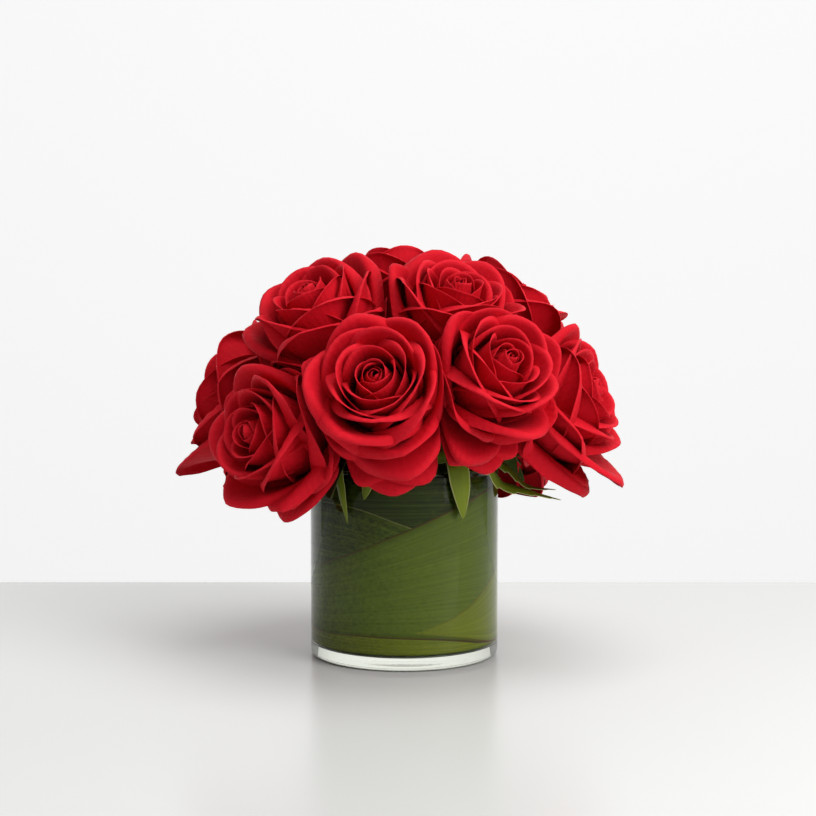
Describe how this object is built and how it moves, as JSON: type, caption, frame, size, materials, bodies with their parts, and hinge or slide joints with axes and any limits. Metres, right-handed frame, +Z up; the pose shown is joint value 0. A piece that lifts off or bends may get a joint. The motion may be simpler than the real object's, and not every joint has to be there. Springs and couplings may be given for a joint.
{
  "type": "roses in a vase",
  "caption": "Low dome of cut red roses with green sepals, standing in a clear straight-sided glass cylinder vase lined with broad green leaves.",
  "frame": {"origin": "centre of the vase's flat underside", "axes": "-Z is the way the underside faces, so +Z is up along the vase's axis; -Y is the front of the bouquet"},
  "size_m": [0.2708, 0.2621, 0.2591],
  "materials": {
    "clear_glass": "polished",
    "lining_leaf": "satin",
    "red_petal": "matte",
    "dark_red_petal": "matte",
    "sepal": "matte",
    "stem": "satin"
  },
  "bodies": {
    "root": {"vase": "clear_glass", "lining_leaf_1": "lining_leaf", "lining_leaf_2": "lining_leaf", "lining_leaf_3": "lining_leaf", "lining_leaf_4": "lining_leaf", "lining_leaf_5": "lining_leaf", "rose_01_petals": "red_petal", "rose_01_heart": "dark_red_petal", "rose_01_calyx": "sepal", "rose_01_stem": "stem", "rose_02_petals": "red_petal", "rose_02_heart": "dark_red_petal", "rose_02_calyx": "sepal", "rose_02_stem": "stem", "rose_03_petals": "red_petal", "rose_03_heart": "dark_red_petal", "rose_03_calyx": "sepal", "rose_03_stem": "stem", "rose_04_petals": "red_petal", "rose_04_heart": "dark_red_petal", "rose_04_calyx": "sepal", "rose_04_stem": "stem", "rose_05_petals": "red_petal", "rose_05_heart": "dark_red_petal", "rose_05_calyx": "sepal", "rose_05_stem": "stem", "rose_06_petals": "red_petal", "rose_06_heart": "dark_red_petal", "rose_06_calyx": "sepal", "rose_06_stem": "stem", "rose_07_petals": "red_petal", "rose_07_heart": "dark_red_petal", "rose_07_calyx": "sepal", "rose_07_stem": "stem", "rose_08_petals": "red_petal", "rose_08_heart": "dark_red_petal", "rose_08_calyx": "sepal", "rose_08_stem": "stem", "rose_09_petals": "red_petal", "rose_09_heart": "dark_red_petal", "rose_09_calyx": "sepal", "rose_09_stem": "stem", "rose_10_petals": "red_petal", "rose_10_heart": "dark_red_petal", "rose_10_calyx": "sepal", "rose_10_stem": "stem", "rose_11_petals": "red_petal", "rose_11_heart": "dark_red_petal", "rose_11_calyx": "sepal", "rose_11_stem": "stem", "rose_12_petals": "red_petal", "rose_12_heart": "dark_red_petal", "rose_12_calyx": "sepal", "rose_12_stem": "stem"}
  },
  "joints": []
}
